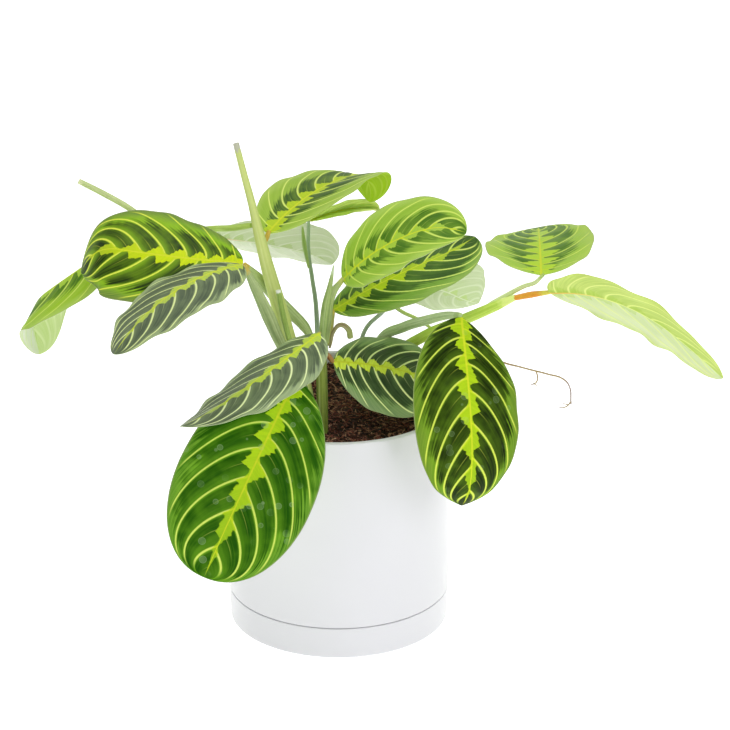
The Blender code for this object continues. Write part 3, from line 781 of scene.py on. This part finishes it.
LEAVES = {
    "leaf_upper_left": Leaf(115, 69, 170, 0, arch=-1, sweep=-20, roll=-21, twist=-20, fold=-8, curl=-63,
        widest=0.56, blunt=0.54, tones=VIVID, wave=0.7),
    "leaf_lower_left": Leaf(106, 63, 215, 5, arch=-44, sweep=12, twist=17, fold=-9, curl=-3, tones=GREYED_BY_SHEEN,
        shift=0.2, wave=0.9),
    "leaf_far_left": Leaf(115, 57, 184, -37, arch=-6, sweep=-66, roll=-10, fold=-24, cup=3, curl=-80,
        curl_from=0.56, widest=0.5, blunt=0.5, shift=0.1, tones=LIGHT._replace(green="98c02c",
        under="d2e6a0", under_vein="e0efb8", half=1.0)),
    "leaf_top": Leaf(119, 57, 56, 22, arch=-40, sweep=-8, roll=1, twist=-17, fold=4, cup=4, curl=-80,
        curl_from=0.72, blunt=0.67, tones=FRESH._replace(under="b0d824", under_vein="c8e450"), shift=-0.1,
        flip=True),
    # Its tones are painted lighter than the blade's own colour, to make up for the shade it sits in.
    "leaf_top_young": Leaf(60, 21, 43, 5, arch=-25, roll=59, fold=62, cup=9, curl=-8,
        tones=FRESH._replace(green="e4f68c", dark="acd058", margin="d8f088", under="e4f68c",
        under_vein="ecf8a0"), wave=0.2),
    # Its pale underside colours are partly the blade's own colour and partly painted glow of the light that
    # shines through it.
    "leaf_behind_left": Leaf(99, 60, 30, -15, arch=-12, sweep=3, roll=-35, twist=-5, fold=8, cup=6,
        curl=-10, tones=LIGHT._replace(under="d6e4b8", under_vein="e6efd2", half=0.45), shift=0.15),
    "leaf_centre_upper": Leaf(90, 55, -14, 52, arch=-43, roll=34, twist=-6, fold=5, cup=4, curl=-24,
        tones=LIGHT, shift=-0.2, flip=True),
    "leaf_centre_lower": Leaf(103, 65, 16, 28, arch=-26, sweep=20, roll=1, fold=-8, curl=15, blunt=0.5,
        tones=FRESH._replace(green="6f9a34", margin="86aa50", dark="34541c", reach=0.7), shift=0.25),
    # Its pale underside colours are partly the blade's own colour and partly painted glow of the light that
    # shines through it.
    "leaf_behind_centre": Leaf(87, 54, 51, -21, arch=-17, sweep=3, roll=-31, twist=-20, fold=11, cup=7,
        curl=13, tones=LIGHT._replace(under="bccc9c", under_vein="d2deb8")),
    "leaf_right_upper": Leaf(113, 68, 89, 4, arch=-23, twist=-11, fold=2, cup=3, curl=4, blunt=0.61,
        tones=LIGHT._replace(green="a0c648", margin="aaca58", dark="3a6a14", band="b4d838", depth=0.95,
        reach=0.68, width=0.44), wave=0.6, flip=True),
    # Its pale yellow-green underside colours are partly the blade's own colour and partly painted glow of the
    # light that shines through it.
    "leaf_far_right": Leaf(129.9, 62, -32, 17, arch=-64, sweep=-2, roll=-48, twist=-8, fold=-4, curl=12,
        tones=LIGHT._replace(under="b6cf62", under_vein="e4f08e", half=0.55), wave=0.9),
    "leaf_front_right": Leaf(135, 68, -86, -24, arch=-99, sweep=15, roll=-22, twist=30, fold=-12, cup=-4,
        curl=-16, widest=0.45, blunt=0.61, tones=DEEP, wave=0.6),
    # Its band and veins are painted lighter than their own colour, to make up for the shade that this blade
    # sits in.
    "leaf_over_soil": Leaf(77, 65, 4, -4, arch=-22, sweep=1, roll=21, twist=11, fold=-12, cup=-3, curl=-16,
        tones=GREYED_BY_SHEEN._replace(green="7a9c58", dark="263e1a", margin="789664", band="e8f848", vein="f0fab0",
        lines=0.4, slant=0.15, reach=0.8, gloss=0.25), shift=0.3, flip=True),
    "leaf_front_left": Leaf(113, 60, 226, -16, sweep=-7, roll=1, twist=18, fold=-12, cup=1, curl=8,
        tones=GREYED_BY_SHEEN._replace(margin="869a72", vein="e4f0b0"), shift=-0.15, wave=0.8),
    "leaf_lower_front": Leaf(137, 84, 240, -38, arch=-6, sweep=-3, roll=-31, twist=1, fold=-1, cup=1,
        curl=-2, widest=0.56, blunt=0.45, tones=RICH, flip=True, wave=0.7),
}


def blade_directions(leaf, s):
    """Along the midrib, across the blade and out of its upper side, at each share s of its length."""
    curl = np.clip((s - leaf.curl_from) / (1 - leaf.curl_from), 0, 1)
    heading = np.radians(leaf.heading + leaf.sweep * s)
    pitch = np.radians(leaf.pitch + leaf.arch * s + leaf.curl * curl * curl * (3 - 2 * curl))
    along = np.stack([np.cos(pitch) * np.cos(heading), np.cos(pitch) * np.sin(heading), np.sin(pitch)], 1)
    level = np.stack([-np.sin(heading), np.cos(heading), 0 * heading], 1)
    up = np.cross(along, level)
    roll = np.radians(leaf.roll + leaf.twist * s)[:, None]
    return along, level * np.cos(roll) + up * np.sin(roll), up * np.cos(roll) - level * np.sin(roll)


def half_width(leaf, s):
    before = np.clip((leaf.widest - s) / leaf.widest, 0, 1)
    after = np.clip((s - leaf.widest) / (1 - leaf.widest), 0, 1)
    return leaf.width / 2 * (1 - before**2.2) ** 0.6 * (1 - after**2) ** leaf.blunt


def vein_start(s, t):
    """Where on the midrib the vein through the point (s, t) starts. Veins run forward, more so outwards."""
    low, high = np.zeros_like(s), np.ones_like(s)
    for _ in range(30):
        start = (low + high) / 2
        reach = 1.22 * (1 - np.exp(-4 * start**1.2)) - start
        straight = np.clip(1.6 * start - 0.35, 0, 0.6)
        end = start + reach * (straight * t + (1 - straight) * t**2.3)
        low = np.where(end < s, start, low)
        high = np.where(end < s, high, start)
    return (low + high) / 2


def vein_number(start, other_side, shift):
    """Counts the veins from the stalk, as a smooth number: a vein lies at each whole number."""
    first, step, growth = VEINS_OTHER_SIDE if other_side else VEINS_ONE_SIDE
    return (np.sqrt(step**2 + 4 * growth * (start - first + 0.05)) - step) / (2 * growth) - 0.75 + shift


def blade_sheet(leaf, s, t, seed):
    """Points of the blade's middle sheet as rows by columns, its upper side's normals, and its vein numbers.

    Between its veins the blade bulges up a little, and its margin waves."""
    fine = np.linspace(0, 1, ROUTE_STEPS + 1)
    steps = blade_directions(leaf, (fine[1:] + fine[:-1]) / 2)[0] * leaf.length / ROUTE_STEPS
    route = np.vstack([np.zeros(3), np.cumsum(steps, 0)])
    ribs = np.stack([np.interp(s, fine, route[:, axis]) for axis in range(3)], 1)
    _, across, face = blade_directions(leaf, s)
    cup, fold = np.radians(leaf.cup or 0.01), np.radians(leaf.fold)
    out, rise = np.sin(cup * abs(t)) / cup, (1 - np.cos(cup * abs(t))) / cup
    side = np.sign(t) * (out * np.cos(fold) - rise * np.sin(fold))
    lift = out * np.sin(fold) + rise * np.cos(fold)
    half = half_width(leaf, s)[:, None, None]
    offset = across[:, None] * side[None, :, None] + face[:, None] * lift[None, :, None]
    sheet = ribs[:, None] + half * offset
    slopes = np.gradient(sheet, axis=0), np.gradient(sheet, axis=1)
    normals = np.cross(*slopes)
    normals[0], normals[-1] = normals[1], normals[-2]
    normals /= np.linalg.norm(normals, axis=2, keepdims=True)
    grid_s, grid_t = np.meshgrid(s, t, indexing="ij")
    start = vein_start(grid_s, abs(grid_t))
    numbers = [vein_number(start, side != leaf.flip, leaf.shift) for side in (False, True)]
    number = np.where(grid_t < 0, numbers[0], numbers[1])
    outward = abs(grid_t)
    bulge = QUILTING * np.abs(np.sin(np.pi * number))
    bulge = bulge * np.clip(outward * 5, 0, 1) * np.clip((1 - outward) * 5, 0, 1)
    bulge *= np.clip(grid_s * 8, 0, 1) * np.clip((1 - grid_s) * 6, 0, 1)
    phase = seed * 1.7
    wave = np.sin(grid_s * 19 + phase + 2.1 * np.sign(grid_t))
    wave = wave + 0.6 * np.sin(grid_s * 33 + 2 * phase + grid_t * 2)
    wave *= leaf.wave * outward**3 * np.clip(grid_s * 6, 0, 1) * np.clip((1 - grid_s) * 5, 0, 1)
    return sheet + normals * (bulge + wave)[..., None], normals, numbers


def make_blade(name, leaf, seed):
    """A closed thin blade: two faces that share their stalk end and tip, with a narrow margin between."""
    s = (1 - np.cos(np.linspace(0, math.pi, BLADE_ROWS + 1))) / 2
    t = np.sin(np.linspace(-1, 1, BLADE_COLUMNS + 1) * math.pi / 2 * COLUMN_CROWDING)
    t = t / math.sin(math.pi / 2 * COLUMN_CROWDING)
    sheet, normals, numbers = blade_sheet(leaf, s, t, seed)
    low, high = (np.array(corner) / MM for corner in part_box(name))
    flat = sheet.reshape(-1, 3)
    sheet = sheet + (low + high - flat.min(0) - flat.max(0)) / 2
    outward = abs(t)[None, :, None]
    half = half_width(leaf, s)[:, None, None]
    thick = MARGIN_THICKNESS + (BLADE_THICKNESS - MARGIN_THICKNESS) * np.clip((1 - outward) * 6, 0, 1)
    ends = (np.clip(s * 30, 0, 1) * np.clip((1 - s) * 30, 0, 1))[:, None, None]
    rib = np.exp(-((outward * half / MIDRIB_WIDTH) ** 2)) * (1 - 0.75 * s[:, None, None]) * ends
    upper = sheet + normals * (thick / 2 - 0.25 * MIDRIB_DEPTH * rib)
    lower = sheet - normals * (thick / 2 + MIDRIB_DEPTH * rib)
    rows, columns = len(s), len(t)
    middle = columns // 2
    count = rows * columns
    points = np.vstack([upper.reshape(-1, 3), lower.reshape(-1, 3)])
    index = np.arange(2 * count).reshape(2, rows, columns)
    for end in (0, rows - 1):
        points[index[0, end]] = points[index[1, end]] = sheet[end, middle]
        index[:, end] = index[0, end, middle]
    where = np.stack(np.meshgrid(s, t, indexing="ij"), -1)
    faces, under, spots, counts, widths = [], [], [], [], []
    origins = [vein_number(s, side != leaf.flip, leaf.shift) for side in (False, True)]
    half_mm = half_width(leaf, s)
    spacing = [spacing_of(leaf, numbers[side], s, t, half_mm) for side in (0, 1)]

    def add(corners, is_under, right):
        loop = [index[layer, i, j] for layer, i, j in corners]
        keep = [n for n, v in enumerate(loop) if v not in loop[:n]]
        if len(keep) < 3:
            return
        faces.append([int(loop[n]) for n in keep])
        under.append(is_under)
        for n in keep:
            _, i, j = corners[n]
            spots.append(where[i, j])
            counts.append((numbers[right][i, j], origins[right][i]))
            widths.append((spacing[right][i, j], abs(t[j]) * half_mm[i]))

    for i in range(rows - 1):
        for j in range(columns - 1):
            right = int(j >= middle)
            add([(0, i, j), (0, i + 1, j), (0, i + 1, j + 1), (0, i, j + 1)], 0, right)
            add([(1, i, j), (1, i, j + 1), (1, i + 1, j + 1), (1, i + 1, j)], 1, right)
        add([(0, i, 0), (1, i, 0), (1, i + 1, 0), (0, i + 1, 0)], 1, 0)
        last = columns - 1
        add([(0, i, last), (0, i + 1, last), (1, i + 1, last), (1, i, last)], 1, 1)
    used, inverse = np.unique(np.concatenate([np.array(f) for f in faces]), return_inverse=True)
    sizes = np.cumsum([0] + [len(f) for f in faces])
    faces = [inverse[a:b].tolist() for a, b in zip(sizes, sizes[1:])]
    mesh = bpy.data.meshes.new(name + "_blade")
    mesh.from_pydata((points[used] * MM).tolist(), [], faces)
    for map_name, values in (("place", spots), ("veins", counts), ("spread", widths)):
        layer = mesh.uv_layers.new(name=map_name)
        layer.uv.foreach_set("vector", np.array(values, np.float32).ravel())
    mesh.materials.append(leaf_surface(name + "_upper", leaf, under=False))
    mesh.materials.append(leaf_surface(name + "_under", leaf, under=True))
    mesh.polygons.foreach_set("material_index", np.array(under, np.int32))
    mesh.shade_smooth()
    return new_object(name + "_blade", mesh)


def spacing_of(leaf, number, s, t, half):
    """Millimetres from one vein to the next at each point, measured square to the veins."""
    rise_s = np.gradient(number, axis=0) / np.gradient(s)[:, None] / leaf.length
    rise_t = np.gradient(number, axis=1) / np.gradient(t)[None, :] / np.maximum(half, 1.0)[:, None]
    return 1 / np.maximum(np.hypot(rise_s, rise_t), 1e-3)


def lobe_outline(share, corners):
    """How far the lime band reaches out from the midrib at each share of the way from vein to vein."""
    outline = add_node(share.id_data, "ShaderNodeFloatCurve", {"Value": share})
    lobe = outline.mapping.curves[0]
    lobe.points[0].location, lobe.points[1].location = corners[0], corners[-1]
    for corner in corners[1:-1]:
        lobe.points.new(*corner)
    for point in lobe.points:
        point.handle_type = "VECTOR"
    outline.mapping.update()
    return outline.outputs[0]


def leaf_markings():
    """The pattern of a blade, from where a point is (place), its vein (veins) and its sizes (spread)."""
    tree, given = new_group("leaf_markings", "Shader", [
        "Vein", "Band", "Rib", "Field", "Streak", "Border", "Rim", "Base", "Tip", "Spot", "Side", "Height"], {
            "Band Width": 0.24, "Toothed Side": 1.0, "Reach": 0.6, "Spread": 0.28, "Line": 0.5, "Slant": 0.2})

    def pair(name):
        parts = split(add_node(tree, "ShaderNodeUVMap", uv_map=name).outputs[0])
        return parts[0], parts[1]

    s, t = pair("place")
    number, origin = pair("veins")
    spacing, from_rib = pair("spread")
    outward = calc("ABSOLUTE", t)
    body = add_node(tree, "ShaderNodeTexCoord").outputs["Object"]
    ripple = calc("SUBTRACT", grain(body, 380, 2), 0.5)
    broad = calc("SUBTRACT", grain(body, 70, 2), 0.5)

    cell = calc("FLOOR", number)
    share = calc("SUBTRACT", number, cell)
    nearest = calc("MINIMUM", share, calc("SUBTRACT", 1.0, share))
    vein_gap = times(nearest, spacing)
    line = times(given["Line"], linear(outward, -0.6, 1.35))
    vein = ramp(vein_gap, times(line, 1.45), times(line, 0.5))
    middle_gap = times(calc("ABSOLUTE", calc("SUBTRACT", share, 0.5)), spacing)
    twig = times(ramp(middle_gap, 0.4, 0.05), ramp(outward, 0.42, 0.18))
    vein = calc("MAXIMUM", vein, times(twig, 0.25))
    vein = times(vein, ramp(outward, 0.985, 0.88), ramp(s, 0.985, 0.93))

    lobe_share = linear(ripple, 0.08, calc("SUBTRACT", origin, cell))
    pointed = lobe_outline(lobe_share, [
        (0, 0.22), (0.1, 0.38), (0.28, 0.62), (0.33, 0.55), (0.5, 0.86), (0.54, 0.77), (0.72, 1.0),
        (0.76, 0.55), (0.81, 0.18), (1, 0.1)])
    stepped = lobe_outline(lobe_share, [
        (0, 0.26), (0.1, 0.42), (0.26, 0.82), (0.38, 0.88), (0.48, 1.0), (0.52, 0.68), (0.62, 0.72),
        (0.68, 0.38), (0.76, 0.34), (0.82, 0.12), (1, 0.1)])
    side = calc("GREATER_THAN", times(t, given["Toothed Side"]), 0.0)
    lobes = linear(side, calc("SUBTRACT", pointed, stepped), stepped)
    narrowing = linear(s, -0.72, 1.12)
    edge = times(lobes, narrowing, given["Band Width"], ramp(s, 1.0, 0.82))
    web = times(ramp(nearest, 0.16, 0.0), 0.05)
    edge = calc("ADD", edge, linear(ramp(s, 0.14, 0.0), 0.4, web))
    edge = linear(ripple, 0.03, edge)
    band = ramp(outward, calc("ADD", edge, 0.012), calc("SUBTRACT", edge, 0.012))

    rib_width = linear(s, -0.75, 1.05)
    rib = ramp(from_rib, rib_width, times(rib_width, 0.45))
    rib = times(rib, ramp(s, 1.0, 0.93))

    lined = add_node(tree, "ShaderNodeCombineXYZ",
                     {0: times(number, 8.0), 1: times(outward, 2.0),
                      2: times(calc("SIGN", t), 5.0)}).outputs[0]
    streak = ramp(grain(lined, 1.0, 3), 0.3, 0.7)

    fade = linear(streak, 0.16, linear(broad, 0.4, outward))
    limit = linear(calc("SUBTRACT", s, 0.5), given["Spread"], given["Reach"])
    field = ramp(fade, calc("ADD", limit, 0.1), calc("SUBTRACT", limit, 0.07))
    field = times(field, ramp(share, 0.0, 0.14))
    lit_side = times(ramp(share, 0.5, 1.0), given["Slant"])
    field = times(field, calc("SUBTRACT", 1.0, lit_side))
    cloud = ramp(broad, -0.1, 0.25)
    field = times(field, linear(cloud, -0.28, 1.0))

    border = ramp(linear(broad, 0.2, outward), 0.72, 1.0)
    rim = ramp(outward, 0.972, 0.995)
    drops = add_node(tree, "ShaderNodeTexVoronoi", {"Vector": body, "Scale": 115, "Randomness": 1.0})
    ring = calc("ABSOLUTE", calc("SUBTRACT", drops.outputs["Distance"], 0.24))
    chance = split(drops.outputs["Color"])[0]
    chosen = ramp(linear(broad, 1.5, chance), 0.25, 0.9)
    film = times(ramp(drops.outputs["Distance"], 0.26, 0.18), 0.55)
    spot = times(calc("MAXIMUM", ramp(ring, 0.035, 0.01), film), chosen)
    height = linear(vein, 0.5, times(streak, 0.5))
    height = linear(rib, 0.4, height)
    outputs = {"Vein": vein, "Band": band, "Rib": rib, "Field": field, "Streak": streak, "Border": border,
               "Rim": rim, "Base": ramp(s, 0.4, 0.0), "Tip": ramp(s, 0.45, 1.0), "Spot": spot, "Side": side,
               "Height": height}
    add_node(tree, "NodeGroupOutput", outputs)
    return tree


def leaf_surface(name, leaf, under):
    """The upper side's full pattern, or the underside's paler one."""
    tones = leaf.tones
    material, tree, surface, _ = new_material(name)
    marks = add_node(tree, "ShaderNodeGroup", node_tree=markings_of_leaves, inputs={
        "Reach": tones.reach, "Spread": tones.spread, "Line": 0.55 if under else 0.5, "Slant": tones.slant,
        "Band Width": tones.width, "Toothed Side": -1.0 if leaf.flip else 1.0}).outputs

    def blend(mark, share, first, second):
        return mixed(times(marks[mark], share), first, second)

    if under:
        colour = blend("Streak", 0.4, tint(tones.under), tint(tones.under_vein))
        # Painted sheen: one half of the underside is whitened, less on its streaks and near its border.
        if tones.half:
            sheen = times(linear(marks["Streak"], -0.4, 1.0), tones.half)
            sheen = times(sheen, linear(marks["Border"], -0.6, 1.0))
            colour = mixed(times(sheen, marks["Side"]), colour, tint(SHEEN_WHITE))
        colour = blend("Field", 0.16, colour, tint(tones.green))
        colour = blend("Band", 0.35, colour, tint(tones.band))
        colour = blend("Vein", 0.8, colour, tint(tones.under_vein))
        rib = blend("Base", 0.8, tint(tones.under_vein), tint(RIB_NEAR_STALK))
        colour = mixed(marks["Rib"], colour, rib)
    else:
        outer = mixed(marks["Border"], tint(tones.green), tint(tones.margin))
        lined = linear(marks["Border"], tones.lines, tones.lines / 2)
        pale = [0.65 * a + 0.35 * b for a, b in zip(tint(tones.margin), tint(tones.vein))]
        streaked = blend("Streak", lined, outer, pale)
        dark = blend("Streak", tones.lines * 0.45, tint(tones.dark),
                     tint(tones.green))
        colour = blend("Field", tones.depth, streaked, dark)
        band = blend("Tip", 0.5, tint(tones.band), tint(tones.margin))
        colour = mixed(marks["Band"], colour, blend("Streak", 0.3, band,
                                                          tint(tones.green)))
        in_band = mixed(marks["Band"], tint(tones.vein), tint(VEIN_IN_BAND))
        colour = mixed(marks["Vein"], colour, in_band)
        colour = blend("Rib", 0.75, colour, tint(RIB_COLOUR))
        colour = blend("Rim", 0.5, colour, tint(RIM_COLOUR))
        if tones.spots:
            colour = blend("Spot", 0.4 * tones.spots, colour, tint(DROP_MARK))
    bump = add_node(tree, "ShaderNodeBump", {"Height": marks["Height"], "Strength": 0.5, "Distance": 0.0003})
    set_inputs(surface, Base_Color=colour, Normal=bump,
               Roughness=linear(marks["Streak"], 0.15, 0.5 if under else 0.36),
               Specular_IOR_Level=tones.gloss)
    return material


markings_of_leaves = leaf_markings()
for number, (leaf_name, leaf) in enumerate(LEAVES.items()):
    place_piece(make_blade(leaf_name, leaf, number), leaf_name)
